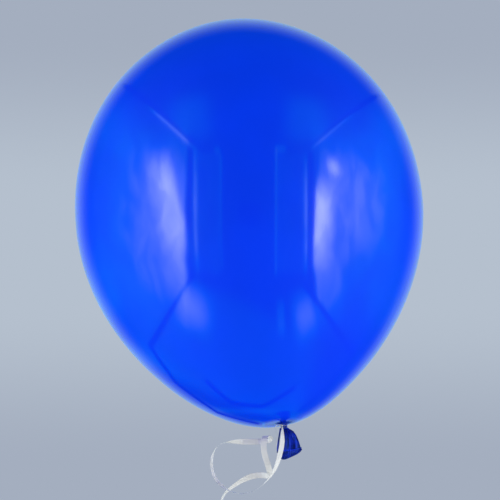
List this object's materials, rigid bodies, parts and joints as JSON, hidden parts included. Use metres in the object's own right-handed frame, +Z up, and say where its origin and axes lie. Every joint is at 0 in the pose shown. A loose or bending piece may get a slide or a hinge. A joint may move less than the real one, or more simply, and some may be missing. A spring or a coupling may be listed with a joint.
{
  "type": "latex balloon",
  "caption": "Inflated round latex balloon, knotted and held at its neck by a curling ribbon that falls in open loops and ringlets.",
  "frame": {"origin": "middle of the waist of the neck, where the ribbon is tied round it", "axes": "+Z up along the balloon's axis from the neck to the crown; the front, with the ribbon's knot, faces -Y"},
  "size_m": [0.3, 0.3, 0.5232],
  "materials": {
    "stretched_latex": "glossy stretched latex, deep blue",
    "slack_latex": "satin unstretched latex, navy blue",
    "ribbon_plastic": "translucent white curling ribbon with fine lengthwise ribs"
  },
  "bodies": {
    "balloon": {"envelope": "stretched_latex", "neck_gather": "slack_latex", "neck_knot": "slack_latex"},
    "tail": {"neck_tail": "slack_latex", "rolled_lip": "slack_latex", "neck_fold": "slack_latex"},
    "ribbon_tie": {"ribbon_wrap": "ribbon_plastic", "ribbon_knot": "ribbon_plastic", "ribbon_tag_end": "ribbon_plastic"},
    "ribbon_fall": {"ribbon_curl": "ribbon_plastic", "ribbon_ringlet": "ribbon_plastic"}
  },
  "joints": [
    {"name": "tail_flex", "type": "hinge", "parent": "balloon", "child": "tail", "pos_m": [0, 0, -0.0048], "axis": [1, 0, 0], "range_deg": [-4, 45], "stiffness_Nm_per_rad": 0.0002},
    {"name": "ribbon_slip", "type": "hinge", "parent": "balloon", "child": "ribbon_tie", "pos_m": [0, 0, 0], "axis": [0, 0, 1], "range_deg": [-10, 35]},
    {"name": "ribbon_swing", "type": "hinge", "parent": "ribbon_tie", "child": "ribbon_fall", "pos_m": [-0.0014, -0.0052, -0.0006], "axis": [1, 0, 0], "range_deg": [-35, 6]}
  ]
}
